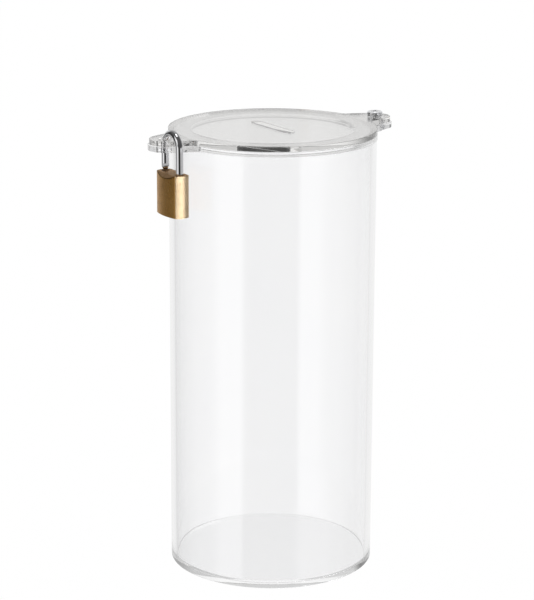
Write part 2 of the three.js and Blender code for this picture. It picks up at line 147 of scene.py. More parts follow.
def eared_outline(tip_r):
    """The plate's outline, counter-clockwise: x, y and outward direction."""
    s, c = math.sin(EAR_TAPER), math.cos(EAR_TAPER)
    T = (EAR_C + tip_r * s, tip_r * c)
    d = s * T[0] + c * T[1] + EAR_FILLET
    q = math.sqrt((DISC_R + EAR_FILLET) ** 2 - d * d)
    F = (d * s + q * c, d * c - q * s)
    on_flank = (F[0] - EAR_FILLET * s, F[1] - EAR_FILLET * c)
    quarter = []
    for i in range(33):
        a = (math.pi / 2 - EAR_TAPER) * i / 32
        quarter.append((EAR_C + tip_r * math.cos(a), tip_r * math.sin(a), math.cos(a), math.sin(a)))
    for i in range(1, 4):
        t = i / 4
        quarter.append((T[0] + (on_flank[0] - T[0]) * t, T[1] + (on_flank[1] - T[1]) * t, s, c))
    a0 = math.atan2(on_flank[1] - F[1], on_flank[0] - F[0])
    a1 = math.atan2(-F[1], -F[0])
    if a1 > a0:
        a1 -= 2 * math.pi
    for i in range(17):
        a = a0 + (a1 - a0) * i / 16
        quarter.append((F[0] + EAR_FILLET * math.cos(a), F[1] + EAR_FILLET * math.sin(a), -math.cos(a), -math.sin(a)))
    d0 = math.atan2(F[1], F[0])
    for i in range(1, 113):
        a = d0 + (math.pi / 2 - d0) * i / 112
        quarter.append((DISC_R * math.cos(a), DISC_R * math.sin(a), math.cos(a), math.sin(a)))
    half = quarter + [(-x, y, -u, v) for x, y, u, v in reversed(quarter[:-1])]
    return half + [(x, -y, u, -v) for x, y, u, v in reversed(half[1:-1])]


def slot_outline(n=20):
    r, h = SLOT_W / 2, SLOT_L / 2 - SLOT_W / 2
    out = []
    for i in range(n + 1):
        a = math.pi * i / n
        out.append((r * math.cos(a), h + r * math.sin(a), math.cos(a), math.sin(a)))
    for i in range(n + 1):
        a = math.pi + math.pi * i / n
        out.append((r * math.cos(a), -h + r * math.sin(a), math.cos(a), math.sin(a)))
    return out


def rounded_wall(skin, outline, z0, z1, e0, e1, side=1, steps=4):
    """Vertical wall on an outline with a rounded lower and upper edge. side is 1 for an outside, -1 for a hole.
    Gives the two rings that bound the flat faces below and above it."""
    rings = []
    for k in range(steps + 1):
        t = math.pi / 2 * k / steps
        rings.append((e0 * (1 - math.sin(t)), z0 + e0 * (1 - math.cos(t)), math.sin(t), -math.cos(t)))
    for k in range(steps + 1):
        t = math.pi / 2 * (1 - k / steps)
        rings.append((e1 * (1 - math.sin(t)), z1 - e1 * (1 - math.cos(t)), math.sin(t), math.cos(t)))
    made = []
    for inset, z, w, up in rings:
        made.append(skin.ring(
            [(x - side * inset * u, y - side * inset * v, z) for x, y, u, v in outline],
            [(side * w * u, side * w * v, up) for x, y, u, v in outline]))
    for a, b in zip(made, made[1:]):
        skin.band(a, b)
    return made[0], made[-1]


def turned(skin, profile, n, cx=0.0, cy=0.0):
    """Surface of revolution through (radius, z, normal radius, normal z) points; radius 0 closes it."""
    before = None
    for r, z, nr, nz in profile:
        if r == 0:
            now = skin.ring([(cx, cy, z)], [(0, 0, nz)])
        else:
            c = circle(r, n, cx, cy)
            now = skin.ring([(x, y, z) for x, y, u, v in c], [(nr * u, nr * v, nz) for x, y, u, v in c])
        if before is not None:
            if len(before) == 1 and len(now) > 1:
                for i in range(n):
                    skin._face([before[0], now[i], now[(i + 1) % n]])
            elif len(now) == 1 and len(before) > 1:
                for i in range(n):
                    skin._face([before[i], before[(i + 1) % n], now[0]])
            else:
                skin.band(before, now)
        before = now


def profile_of(points, closed=False):
    """(r, z) polyline -> (r, z, nr, nz) with normals of the smooth line, to the right of its direction."""
    out = []
    for i, (r, z) in enumerate(points):
        a = points[max(i - 1, 0)]
        b = points[min(i + 1, len(points) - 1)]
        d = Vector((b[0] - a[0], b[1] - a[1]))
        if d.length < 1e-9:
            d = Vector((1, 0))
        d.normalize()
        out.append((r, z, d.y, -d.x))
    return out


def rounded_line(points, radii, steps=4):
    """Polyline in (r, z) with its inner corners rounded by arcs; gives points with normals to the right of travel."""
    out = []

    def normal(a, b):
        d = Vector((b[0] - a[0], b[1] - a[1])).normalized()
        return (d.y, -d.x)

    for i, p in enumerate(points):
        p = Vector(p)
        if i in (0, len(points) - 1):
            nb = points[1] if i == 0 else points[-2]
            n = normal(points[0], points[1]) if i == 0 else normal(points[-2], points[-1])
            out.append((p.x, p.y, *n))
            continue
        a, b = Vector(points[i - 1]), Vector(points[i + 1])
        u, w = (a - p).normalized(), (b - p).normalized()
        na, nb = normal(points[i - 1], points[i]), normal(points[i], points[i + 1])
        r = radii[i]
        half = math.acos(max(-1, min(1, u.dot(w)))) / 2
        if r <= 0 or abs(half - math.pi / 2) < 1e-4:
            out.append((p.x, p.y, *na))
            if abs(na[0] - nb[0]) + abs(na[1] - nb[1]) > 1e-4:
                out.append((p.x, p.y, *nb))
            continue
        cut = r / math.tan(half)
        s, e = p + u * cut, p + w * cut
        centre = p + (u + w).normalized() * (r / math.sin(half))
        va, vb = s - centre, e - centre
        a0 = math.atan2(va.y, va.x)
        turn = math.atan2(va.x * vb.y - va.y * vb.x, va.dot(vb))
        sign = 1 if Vector(na).dot(va) > 0 else -1
        for k in range(steps + 1):
            t = a0 + turn * k / steps
            q = Vector((math.cos(t), math.sin(t)))
            out.append((centre.x + r * q.x, centre.y + r * q.y, sign * q.x, sign * q.y))
    return out


def lathe(name, points, radii, n=64, cx=0.0, cy=0.0, steps=4):
    skin = Skin()
    turned(skin, rounded_line(points, radii, steps), n, cx, cy)
    return skin.make(name)


def raw_object(name, verts, faces):
    me = bpy.data.meshes.new(name)
    me.from_pydata([tuple(c * MM for c in v) for v in verts], [], faces)
    me.validate()
    me.update()
    o = bpy.data.objects.new(name, me)
    bpy.context.scene.collection.objects.link(o)
    return o


def prism(name, outline, z0, z1, grow_top=0.0, grow_bottom=0.0):
    """Closed prism on an outline of (x, y, u, v), its ends moved outward by the grow values."""
    n = len(outline)
    verts = [(x + grow_bottom * u, y + grow_bottom * v, z0) for x, y, u, v in outline]
    verts += [(x + grow_top * u, y + grow_top * v, z1) for x, y, u, v in outline]
    faces = [tuple(reversed(range(n))), tuple(range(n, 2 * n))]
    faces += [(i, (i + 1) % n, n + (i + 1) % n, n + i) for i in range(n)]
    return raw_object(name, verts, faces)


def revolved_raw(name, pts, n, matrix):
    """Closed solid of revolution about local Z through (r, z) pairs that start and end at r 0, set in place by a matrix (mm)."""
    verts, rings = [], []
    for r, z in pts:
        if r == 0:
            rings.append([len(verts)])
            verts.append(matrix @ Vector((0, 0, z)))
        else:
            rings.append(list(range(len(verts), len(verts) + n)))
            verts += [matrix @ Vector((r * math.cos(2 * math.pi * i / n), r * math.sin(2 * math.pi * i / n), z)) for i in range(n)]
    faces = []
    for a, b in zip(rings, rings[1:]):
        for i in range(n):
            j = (i + 1) % n
            if len(a) == 1:
                faces.append((a[0], b[j], b[i]))
            elif len(b) == 1:
                faces.append((a[i], a[j], b[0]))
            else:
                faces.append((a[i], a[j], b[j], b[i]))
    o = raw_object(name, verts, faces)
    bm = bmesh.new()
    bm.from_mesh(o.data)
    bmesh.ops.recalc_face_normals(bm, faces=bm.faces)
    bm.to_mesh(o.data)
    bm.free()
    return o


def cut(target, cutters, operation="DIFFERENCE"):
    """Boolean, applied; the cutters are removed."""
    for c in cutters:
        m = target.modifiers.new("cut", "BOOLEAN")
        m.operation = operation
        m.solver = "EXACT"
        m.object = c
    dg = bpy.context.evaluated_depsgraph_get()
    dg.update()
    me = bpy.data.meshes.new_from_object(target.evaluated_get(dg))
    target.modifiers.clear()
    old = target.data
    target.data = me
    me.name = old.name
    bpy.data.meshes.remove(old)
    for c in cutters:
        m = c.data
        bpy.data.objects.remove(c)
        bpy.data.meshes.remove(m)
    return target


def clean_shade(o, angle=32, merge=0.004):
    """Welds, removes slivers, marks sharp edges by angle and weights the normals by face area."""
    bm = bmesh.new()
    bm.from_mesh(o.data)
    bmesh.ops.remove_doubles(bm, verts=bm.verts, dist=merge * MM)
    bmesh.ops.dissolve_degenerate(bm, edges=bm.edges, dist=merge * MM)
    bmesh.ops.recalc_face_normals(bm, faces=bm.faces)
    bm.to_mesh(o.data)
    bm.free()
    me = o.data
    for p in me.polygons:
        p.use_smooth = True
    me.set_sharp_from_angle(angle=math.radians(angle))
    m = o.modifiers.new("weight", "WEIGHTED_NORMAL")
    m.keep_sharp = True
    m.weight = 80
    dg = bpy.context.evaluated_depsgraph_get()
    dg.update()
    new = bpy.data.meshes.new_from_object(o.evaluated_get(dg))
    o.modifiers.clear()
    name = me.name
    o.data = new
    bpy.data.meshes.remove(me)
    new.name = name
    return o


# ------------------------------------------------------------------ material helpers
class Nodes:
    def __init__(self, tree):
        self.t = tree
        tree.nodes.clear()

    def add(self, kind, **inputs):
        n = self.t.nodes.new(kind)
        for k, v in inputs.items():
            if hasattr(n, k) and k not in n.inputs:
                setattr(n, k, v)
        return n

    def set(self, node, **values):
        for k, v in values.items():
            node.inputs[k.replace("_", " ")].default_value = v
        return node

    def link(self, a, b):
        self.t.links.new(a, b)

    def value(self, x):
        return x

    def math(self, op, a, b=None, c=None, clamp=False):
        n = self.t.nodes.new("ShaderNodeMath")
        n.operation = op
        n.use_clamp = clamp
        for i, x in enumerate((a, b, c)):
            if x is None:
                continue
            if isinstance(x, (int, float)):
                n.inputs[i].default_value = x
            else:
                self.link(x, n.inputs[i])
        return n.outputs[0]

    def ramp(self, fac, stops, interpolation="LINEAR"):
        n = self.t.nodes.new("ShaderNodeValToRGB")
        n.color_ramp.interpolation = interpolation
        els = n.color_ramp.elements
        while len(els) > 1:
            els.remove(els[-1])
        for i, (p, c) in enumerate(stops):
            e = els[0] if i == 0 else els.new(p)
            e.position = p
            if isinstance(c, (int, float)):
                c = (c, c, c)
            e.color = (*c[:3], 1)
        self.link(fac, n.inputs[0])
        return n.outputs[0]

    def noise(self, vector, scale, detail=2.0, roughness=0.5, distortion=0.0):
        n = self.t.nodes.new("ShaderNodeTexNoise")
        n.inputs["Scale"].default_value = scale
        n.inputs["Detail"].default_value = detail
        n.inputs["Roughness"].default_value = roughness
        n.inputs["Distortion"].default_value = distortion
        self.link(vector, n.inputs["Vector"])
        return n.outputs["Fac"]

    def mapping(self, vector, scale=(1, 1, 1), rotation=(0, 0, 0), location=(0, 0, 0)):
        n = self.t.nodes.new("ShaderNodeMapping")
        n.inputs["Scale"].default_value = scale
        n.inputs["Rotation"].default_value = rotation
        n.inputs["Location"].default_value = location
        self.link(vector, n.inputs["Vector"])
        return n.outputs[0]

    def mix(self, fac, a, b):
        n = self.t.nodes.new("ShaderNodeMix")
        n.data_type = "RGBA"
        for i, x in ((0, fac), (6, a), (7, b)):
            if isinstance(x, (int, float)):
                n.inputs[i].default_value = x if i == 0 else (x, x, x, 1)
            elif isinstance(x, tuple):
                n.inputs[i].default_value = (*x[:3], 1)
            else:
                self.link(x, n.inputs[i])
        return n.outputs[2]

    def remap(self, x, a, b, c, d, smooth=False):
        n = self.t.nodes.new("ShaderNodeMapRange")
        n.interpolation_type = "SMOOTHSTEP" if smooth else "LINEAR"
        self.link(x, n.inputs["Value"])
        for k, v in (("From Min", a), ("From Max", b), ("To Min", c), ("To Max", d)):
            n.inputs[k].default_value = v
        return n.outputs["Result"]

    def bump(self, height, strength, distance, normal=None):
        n = self.t.nodes.new("ShaderNodeBump")
        n.inputs["Strength"].default_value = strength
        n.inputs["Distance"].default_value = distance
        self.link(height, n.inputs["Height"])
        if normal is not None:
            self.link(normal, n.inputs["Normal"])
        return n.outputs["Normal"]


def material(name):
    m = bpy.data.materials.new(name)
    m.use_nodes = True
    k = Nodes(m.node_tree)
    out = k.add("ShaderNodeOutputMaterial")
    bsdf = k.add("ShaderNodeBsdfPrincipled")
    k.link(bsdf.outputs[0], out.inputs["Surface"])
    coord = k.add("ShaderNodeTexCoord").outputs["Object"]
    return m, k, bsdf, coord


def acrylic_material(name, handled, rippled, tints, painted_glow):
    """Clear polished acrylic. handled is how much fine wear its outer faces carry, rippled whether it was drawn as a tube."""
    m, k, b, co = material(name)
    b.inputs["Transmission Weight"].default_value = 1.0
    b.inputs["IOR"].default_value = 1.491
    b.inputs["Metallic"].default_value = 0.0
    # painted glow: the plastic gives off a faint light of its own, which lights up the long ways that light is led
    # through the sheets
    b.inputs["Emission Color"].default_value = (1.0, 0.995, 0.985, 1)
    b.inputs["Emission Strength"].default_value = painted_glow
    haze = k.noise(co, 22, 3, 0.55)
    k.link(k.ramp(haze, [(0.3, tints[0]), (0.7, tints[1])]), b.inputs["Base Color"])
    # hair-fine handling scratches: thin ridges of two stretched noises, in patches
    worn = k.remap(k.noise(co, 38, 2, 0.5), 0.52, 0.70, 0.0, 1.0, True)
    lines = None
    for turn, stretch in ((0.5, (900, 40, 60)), (-0.9, (50, 820, 70))):
        f = k.noise(k.mapping(co, stretch, (0.1, 0.2, turn)), 1.0, 2, 0.6)
        ridge = k.remap(k.math("ABSOLUTE", k.math("SUBTRACT", f, 0.5)), 0.0, 0.012, 1.0, 0.0)
        lines = ridge if lines is None else k.math("MAXIMUM", lines, ridge)
    scratch = k.math("MULTIPLY", lines, worn)
    k.link(k.math("MULTIPLY_ADD", scratch, 0.10 * handled, 0.004), b.inputs["Roughness"])
    if rippled:
        # long shallow ripples that drawing leaves along the tube
        ripple = k.noise(k.mapping(co, (60, 60, 4)), 1.0, 2, 0.4)
        k.link(k.bump(ripple, 0.05, 0.0002), b.inputs["Normal"])
    return m


def chrome_material(name, tint, scratches=0.5, top_matt_and_painted_light=0.0):
    m, k, b, co = material(name)
    b.inputs["Metallic"].default_value = 1.0
    cloud = k.noise(co, 160, 3, 0.6)
    k.link(k.ramp(cloud, [(0.3, tuple(c * 0.965 for c in tint)), (0.7, tint)]), b.inputs["Base Color"])
    f = k.noise(k.mapping(co, (2600, 2600, 300)), 1.0, 3, 0.6)
    ridge = k.remap(k.math("ABSOLUTE", k.math("SUBTRACT", f, 0.5)), 0.0, 0.03, 1.0, 0.0)
    patch = k.remap(k.noise(co, 300, 2, 0.5), 0.5, 0.7, 0.0, 1.0, True)
    rough = k.math("MULTIPLY_ADD", k.math("MULTIPLY", ridge, patch), 0.12 * scratches, 0.045)
    if top_matt_and_painted_light:
        # the turned top is made matt, and its metal is turned down so it shows pale: a painted highlight that makes it
        # lighter than the side
        sep = k.add("ShaderNodeSeparateXYZ")
        k.link(k.add("ShaderNodeTexCoord").outputs["Normal"], sep.inputs[0])
        top = k.remap(sep.outputs[2], 0.45, 0.65, 0.0, 1.0, True)
        rough = k.math("MULTIPLY_ADD", top, top_matt_and_painted_light, rough)
        k.link(k.math("MULTIPLY_ADD", top, -0.7, 1.0), b.inputs["Metallic"])
    k.link(rough, b.inputs["Roughness"])
    k.link(k.bump(k.noise(co, 420, 2, 0.5), 0.03, 0.0001), b.inputs["Normal"])
    return m


def steel_material(name):
    m, k, b, co = material(name)
    b.inputs["Metallic"].default_value = 1.0
    k.link(k.ramp(k.noise(co, 700, 3, 0.6), [(0.25, (0.40, 0.41, 0.42)), (0.75, (0.58, 0.58, 0.59))]), b.inputs["Base Color"])
    grain = k.noise(k.mapping(co, (9000, 9000, 900)), 1.0, 2, 0.6)
    k.link(k.remap(grain, 0.3, 0.7, 0.22, 0.38), b.inputs["Roughness"])
    k.link(k.bump(grain, 0.15, 0.00003), b.inputs["Normal"])
    return m


def brass_material(name):
    """Brass bar stock, with painted light and shade by which way a face looks: the broad sides get a dark copy of the
    brass and the narrow sides a bright one; the narrow sides are also drawn across, which spreads what they mirror up
    and down; the top gets a painted shade of its own.
    """
    m, k, b, co = material(name)
    b.inputs["Metallic"].default_value = 1.0
    sep = k.add("ShaderNodeSeparateXYZ")
    tex = k.add("ShaderNodeTexCoord")
    k.link(tex.outputs["Normal"], sep.inputs[0])
    broad = k.remap(k.math("ABSOLUTE", sep.outputs[0]), 0.66, 0.93, 0.0, 1.0, True)
    above = k.remap(sep.outputs[2], 0.25, 0.5, 0.0, 1.0, True)
    narrow = k.remap(k.math("ABSOLUTE", sep.outputs[1]), 0.55, 0.85, 0.0, 1.0, True)
    # the two grains
    up = k.noise(k.mapping(co, (1200, 9000, 220)), 1.0, 3, 0.65)
    across = k.noise(k.mapping(co, (260, 260, 9500)), 1.0, 3, 0.65)
    grain_n = k.t.nodes.new("ShaderNodeMix")
    grain_n.data_type = "FLOAT"
    k.link(broad, grain_n.inputs[0])
    k.link(across, grain_n.inputs[2])
    k.link(up, grain_n.inputs[3])
    grain = grain_n.outputs[0]
    cloud = k.noise(co, 130, 4, 0.6)
    tarnish = k.noise(co, 420, 3, 0.55)
    # painted light and shade: the narrow sides get a bright copy of the brass and the broad sides a dark one, picked by
    # the face's direction
    narrow_painted_light = k.mix(k.remap(cloud, 0.32, 0.68, 0.0, 1.0), (0.91, 0.70, 0.45), (0.94, 0.75, 0.51))
    broad_painted_shade = k.mix(k.remap(cloud, 0.32, 0.68, 0.0, 1.0), (0.52, 0.265, 0.058), (0.64, 0.345, 0.095))
    # painted shade: the top and its facets get a mid tone of their own, picked by which way they face
    top_painted_shade = k.mix(k.remap(cloud, 0.32, 0.68, 0.0, 1.0), (0.62, 0.385, 0.19), (0.76, 0.49, 0.26))
    base = k.mix(broad, narrow_painted_light, broad_painted_shade)
    base = k.mix(above, base, top_painted_shade)
    base = k.mix(k.math("MULTIPLY", k.remap(tarnish, 0.50, 0.72, 0.0, 0.30, True), k.remap(narrow, 0.0, 1.0, 1.0, 0.25)), base, (0.38, 0.24, 0.09))
    base = k.mix(k.remap(grain, 0.42, 0.70, 0.0, 0.12), base, (0.80, 0.62, 0.36))
    k.link(base, b.inputs["Base Color"])
    rough = k.math("ADD", k.remap(grain, 0.3, 0.7, 0.23, 0.33), k.remap(tarnish, 0.5, 0.75, 0.0, 0.08, True))
    rough = k.math("MULTIPLY_ADD", above, 0.24, rough)
    k.link(k.math("MULTIPLY_ADD", narrow, 0.26, rough), b.inputs["Roughness"])
    k.link(k.math("MULTIPLY", narrow, 0.85), b.inputs["Anisotropic"])
    b.inputs["Anisotropic Rotation"].default_value = 0.25
    tangent = k.t.nodes.new("ShaderNodeTangent")
    tangent.direction_type = "RADIAL"
    tangent.axis = "Z"
    k.link(tangent.outputs[0], b.inputs["Tangent"])
    k.link(k.bump(grain, 0.35, 0.00003), b.inputs["Normal"])
    return m


# the last number is the strength of each plastic's painted glow
ACRYLIC_TUBE = acrylic_material("acrylic_tube", 0.2, True, ((0.978, 0.979, 0.984), (0.986, 0.986, 0.988)), 0.012)
ACRYLIC_LID = acrylic_material("acrylic_lid", 0.22, False, ((0.992, 0.986, 0.972), (0.996, 0.990, 0.978)), 0.003)
CHROME = chrome_material("chromed_shackle", (0.93, 0.93, 0.945))
# the screw head's top gets the matt, pale painted highlight
PLATED = chrome_material("plated_screw", (0.90, 0.905, 0.92), 0.8, 0.26)
BRASS = brass_material("brushed_brass")
STEEL = steel_material("plain_steel")


def finish_piece(o, body, slot, mat, *nodes):
    o.data.materials.clear()
    o.data.materials.append(mat)
    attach(o, body)
    if nodes:
        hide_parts(*nodes)
    return o


# ------------------------------------------------------------------ vessel: base, tube and collar, welded
N = 480
E = 0.22                                   # polished edge radius of the plates


def vessel_shell():
    s = Skin()

    def ring(r, z, nr, nz):
        c = circle(r, N)
        return s.ring([(x, y, z) for x, y, u, v in c], [(nr * u, nr * v, nz) for x, y, u, v in c])

    rings = []
    # underside and outside of the base, weld seam, outside of the tube
    for k in range(5):
        t = math.pi / 2 * k / 4
        rings.append(ring(TUBE_R - 0.3 + 0.3 * math.sin(t), 0.3 - 0.3 * math.cos(t), math.sin(t), -math.cos(t)))
    s.fan(rings[0], 0.0, -1)
    for r, z, nr, nz in ((TUBE_R, BASE_T - 0.16, 1, 0), (TUBE_R - 0.02, BASE_T - 0.08, 0.9, 0.45), (TUBE_R - 0.07, BASE_T, 1, 0),
                         (TUBE_R - 0.02, BASE_T + 0.08, 0.9, -0.45), (TUBE_R, BASE_T + 0.16, 1, 0)):
        rings.append(ring(r, z, nr, nz))
    fil = 0.12                             # the weld bead stays inside the collar's lower edge
    for k in range(5):
        t = math.pi / 2 * k / 4
        rings.append(ring(TUBE_R + fil - fil * math.cos(t), TUBE_TOP - fil + fil * math.sin(t), math.cos(t), -math.sin(t)))
    for a, b in zip(rings, rings[1:]):
        s.band(a, b)
    tube_under = rings[-1]
    # collar: outline, ear holes, mouth
    low, high = rounded_wall(s, eared_outline(EAR_R_COLLAR), COLLAR_Z0, COLLAR_Z1, 0.1, E)
    holes_low, holes_high = [], []
    for x, r in ((-HOLE_X, LOCK_HOLE_R), (HOLE_X, HINGE_HOLE_R)):
        a, b = rounded_wall(s, circle(r, 96, x, 0), COLLAR_Z0, COLLAR_Z1, 0.15, 0.15, side=-1)
        holes_low.append(a)
        holes_high.append(b)
    s.cap([low, tube_under] + holes_low, -1)
    mouth_low, mouth_high = rounded_wall(s, circle(MOUTH_R, N), COLLAR_Z0, COLLAR_Z1, E, E, side=-1)
    s.cap([high, mouth_high] + holes_high, 1)
    # underside of the collar inside the tube, inner wall, floor
    inner = []
    fil = 0.3
    for k in range(5):
        t = math.pi / 2 * k / 4
        inner.append(ring(INNER_R - fil + fil * math.sin(t), TUBE_TOP - fil + fil * math.cos(t), -math.sin(t), -math.cos(t)))
    s.band(mouth_low, inner[0])
    fil = 0.45
    for k in range(6):
        t = math.pi / 2 * k / 5
        inner.append(ring(INNER_R - fil + fil * math.cos(t), BASE_T + fil - fil * math.sin(t), -math.cos(t), math.sin(t)))
    for a, b in zip(inner, inner[1:]):
        s.band(a, b)
    s.fan(inner[-1], BASE_T, 1)
    return s.make("vessel_shell")


vessel = finish_piece(vessel_shell(), "vessel", "acrylic", ACRYLIC_TUBE, "base_plate", "tube_wall", "collar_ring")


# ------------------------------------------------------------------ lid
def lid_sheet():
    s = Skin()
    low, high = rounded_wall(s, eared_outline(EAR_R_LID), LID_Z0, LID_Z1, E, E)
    lows, highs = [low], [high]
    for outline, e in ((slot_outline(), 0.25), (circle(LOCK_HOLE_R, 96, -HOLE_X, 0), 0.15), (circle(HINGE_HOLE_R, 96, HOLE_X, 0), 0.15)):
        a, b = rounded_wall(s, outline, LID_Z0, LID_Z1, e, e, side=-1)
        lows.append(a)
        highs.append(b)
    s.cap(lows, -1)
    s.cap(highs, 1)
    return s.make("lid_sheet")


lid = finish_piece(lid_sheet(), "lid", "acrylic", ACRYLIC_LID, "lid_plate")


# ------------------------------------------------------------------ hinge screw and nut
def hinge_screw():
    # head: pan, domed, with a small radius at its rim
    z = LID_Z1
    head = lathe("hinge_screw_body", [
        (0, COLLAR_Z0 - NUT_H - 1.3), (1.45, COLLAR_Z0 - NUT_H - 1.3), (1.72, COLLAR_Z0 - NUT_H - 0.95), (1.72, z - 0.02),
        (SCREW_HEAD_R, z - 0.0), (SCREW_HEAD_R, z + 1.80), (SCREW_HEAD_R - 0.55, z + 2.30), (0, z + 2.5)],
        [0, 0.1, 0.3, 0, 0.12, 0.4, 0.4, 0], n=96, cx=HOLE_X, cy=0, steps=6)
    # cross recess with tapered wings
    arm = 1.95
    w0, w1 = 0.30, 0.46
    parts = []
    for turn in (0, math.pi / 2):
        rot = Matrix.Rotation(turn + 0.35, 4, "Z")
        pts = []
        for zz, ww, aa in ((z + 1.0, w0, arm * 0.45), (z + 3.2, w1, arm * 1.12)):
            for x, y in ((-aa, -ww), (aa, -ww), (aa, ww), (-aa, ww)):
                p = rot @ Vector((x, y, zz))
                pts.append((p.x + HOLE_X, p.y, p.z))
        parts.append(raw_object("wing", pts, [(3, 2, 1, 0), (4, 5, 6, 7), (0, 1, 5, 4), (1, 2, 6, 5), (2, 3, 7, 6), (3, 0, 4, 7)]))
    rot = Matrix.Translation((HOLE_X, 0, z + 1.0))
    parts.append(revolved_raw("boss", [(0, -0.35), (0.25, -0.25), (0.8, 2.4), (0, 2.4)], 24, rot))
    cut(head, parts)
    return clean_shade(head, 38)


def screw_thread():
    """Rolled thread on the shank: one height field wrapped round the axis."""
    pitch, r_out, r_in = 0.7, 1.92, 1.58
    z0, z1 = COLLAR_Z0 - NUT_H - 0.9, LID_Z1 - 0.35
    per = 8
    rows = int((z1 - z0) / pitch * per)
    n = 40
    verts, faces = [], []
    for i in range(rows + 1):
        z = z0 + (z1 - z0) * i / rows
        fade = min(1.0, (z - z0) / 0.5, (z1 - z) / 0.5)
        for j in range(n):
            a = 2 * math.pi * j / n
            ph = (z / pitch - j / n) % 1.0
            tri = 1 - abs(2 * ph - 1)
            h = min(max((tri - 0.12) / 0.7, 0), 1)
            r = r_in + (r_out - r_in) * h * max(fade, 0)
            verts.append((HOLE_X + r * math.cos(a), r * math.sin(a), z))
    for i in range(rows):
        for j in range(n):
            k = (j + 1) % n
            faces.append((i * n + j, i * n + k, (i + 1) * n + k, (i + 1) * n + j))
    faces.append(tuple(reversed(range(n))))
    faces.append(tuple(range(rows * n, rows * n + n)))
    o = raw_object("screw_thread", verts, faces)
    for p in o.data.polygons:
        p.use_smooth = True
    o.data.set_sharp_from_angle(angle=math.radians(50))
    return o


def hinge_nut():
    """Thin hexagon nut with chamfered corners."""
    n = 96
    af, ch = NUT_AF / 2, NUT_AF / 2 * 0.97
    z0, z1 = COLLAR_Z0 - NUT_H, COLLAR_Z0 - 0.03
    bore = 2.0
    hexes = []
    for i in range(n):
        a = 2 * math.pi * i / n
        w = (a + math.pi / 6) % (math.pi / 3) - math.pi / 6
        hexes.append((a, af / math.cos(w)))

    def loop(rs, zs):
        return [(HOLE_X + r * math.cos(a), r * math.sin(a), z) for (a, _), r, z in zip(hexes, rs, zs)]

    lift = [max(0.0, (r - ch) * math.tan(math.radians(30))) for _, r in hexes]
    rows = [
        loop([bore] * n, [z0 + 0.25] * n), loop([bore + 0.28] * n, [z0] * n), loop([ch] * n, [z0] * n),
        loop([r for _, r in hexes], [z0 + q for q in lift]), loop([r for _, r in hexes], [z1 - q for q in lift]),
        loop([ch] * n, [z1] * n), loop([bore + 0.28] * n, [z1] * n), loop([bore] * n, [z1 - 0.25] * n)]
    verts = [p for row in rows for p in row]
    faces = []
    for i in range(len(rows)):
        k = (i + 1) % len(rows)
        for j in range(n):
            q = (j + 1) % n
            faces.append((i * n + j, i * n + q, k * n + q, k * n + j))
    o = raw_object("hinge_nut_body", verts, faces)
    return clean_shade(o, 24)


screw = finish_piece(hinge_screw(), "vessel", "plated_screw", PLATED, "hinge_screw")
thread = finish_piece(screw_thread(), "vessel", "plated_screw", PLATED)
nut = finish_piece(hinge_nut(), "vessel", "plated_screw", PLATED, "hinge_nut")


# ------------------------------------------------------------------ shackle
def shackle():
    """One bent rod: toe with its tip and notch, arch, heel leg with neck and collar."""
    n = 64
    line = []   # (y, z, tangent y, tangent z, radius)
    tip = [(0.0, 202.5), (0.72, 202.5), (0.95, 202.58), (1.12, 202.75), (1.5, 203.35), (1.68, 203.65), (1.77, 203.86), (1.8, 204.1)]
    for r, z in tip:
        line.append((TOE_Y, z, 0, 1, r))
    z = 204.7
    while z < ARCH_Z - 0.2:
        line.append((TOE_Y, z, 0, 1, LEG_R))
        z += 0.9
    steps = 48
    for i in range(steps + 1):
        w = math.pi * i / steps
        line.append((TOE_Y - ARCH_R + ARCH_R * math.cos(w), ARCH_Z + ARCH_R * math.sin(w), -math.sin(w), math.cos(w), LEG_R))
    z = ARCH_Z - 0.9
    while z > 202.5:
        line.append((HEEL_Y, z, 0, -1, LEG_R))
        z -= 1.2
    for r, z in ((1.8, 201.8), (1.72, 201.62), (1.0, 201.6), (1.0, 194.5), (1.0, 194.42), (1.72, 194.4), (1.8, 194.32), (1.8, 193.65), (1.72, 193.48), (1.5, 193.4), (0.0, 193.4)):
        line.append((HEEL_Y, z, 0, -1, r))
    verts, faces, rings = [], [], []
    for y, z, ty, tz, r in line:
        if r == 0:
            rings.append([len(verts)])
            verts.append((LOCK_X, y, z))
            continue
        # frame across the line: X and the in-plane normal
        ny, nz = -tz, ty
        rings.append(list(range(len(verts), len(verts) + n)))
        for j in range(n):
            a = 2 * math.pi * j / n
            verts.append((LOCK_X + r * math.cos(a), y + r * math.sin(a) * ny, z + r * math.sin(a) * nz))
    for a, b in zip(rings, rings[1:]):
        for i in range(n):
            j = (i + 1) % n
            if len(a) == 1:
                faces.append((a[0], b[i], b[j]))
            elif len(b) == 1:
                faces.append((a[j], a[i], b[0]))
            else:
                faces.append((a[j], a[i], b[i], b[j]))
    o = raw_object("shackle_rod", verts, faces)
    bm = bmesh.new()
    bm.from_mesh(o.data)
    bmesh.ops.recalc_face_normals(bm, faces=bm.faces)
    bm.to_mesh(o.data)
    bm.free()
    # notch for the bolt, with a flat floor and slanted upper cheek
    y1 = TOE_Y - LEG_R + 1.0
    y0 = TOE_Y - LEG_R - 1.0
    pts = []
    for x in (LOCK_X - 3, LOCK_X + 3):
        pts += [(x, y0, 204.1), (x, y1, 204.1), (x, y1, 205.35), (x, y1 - 0.15, 205.5), (x, y0, 205.5)]
    faces = [(4, 3, 2, 1, 0), (5, 6, 7, 8, 9)] + [(i, (i + 1) % 5, 5 + (i + 1) % 5, 5 + i) for i in range(5)]
    cutter = raw_object("notch", pts, faces)
    bm = bmesh.new()
    bm.from_mesh(cutter.data)
    bmesh.ops.recalc_face_normals(bm, faces=bm.faces)
    bm.to_mesh(cutter.data)
    bm.free()
    cut(o, [cutter])
    return clean_shade(o, 40)


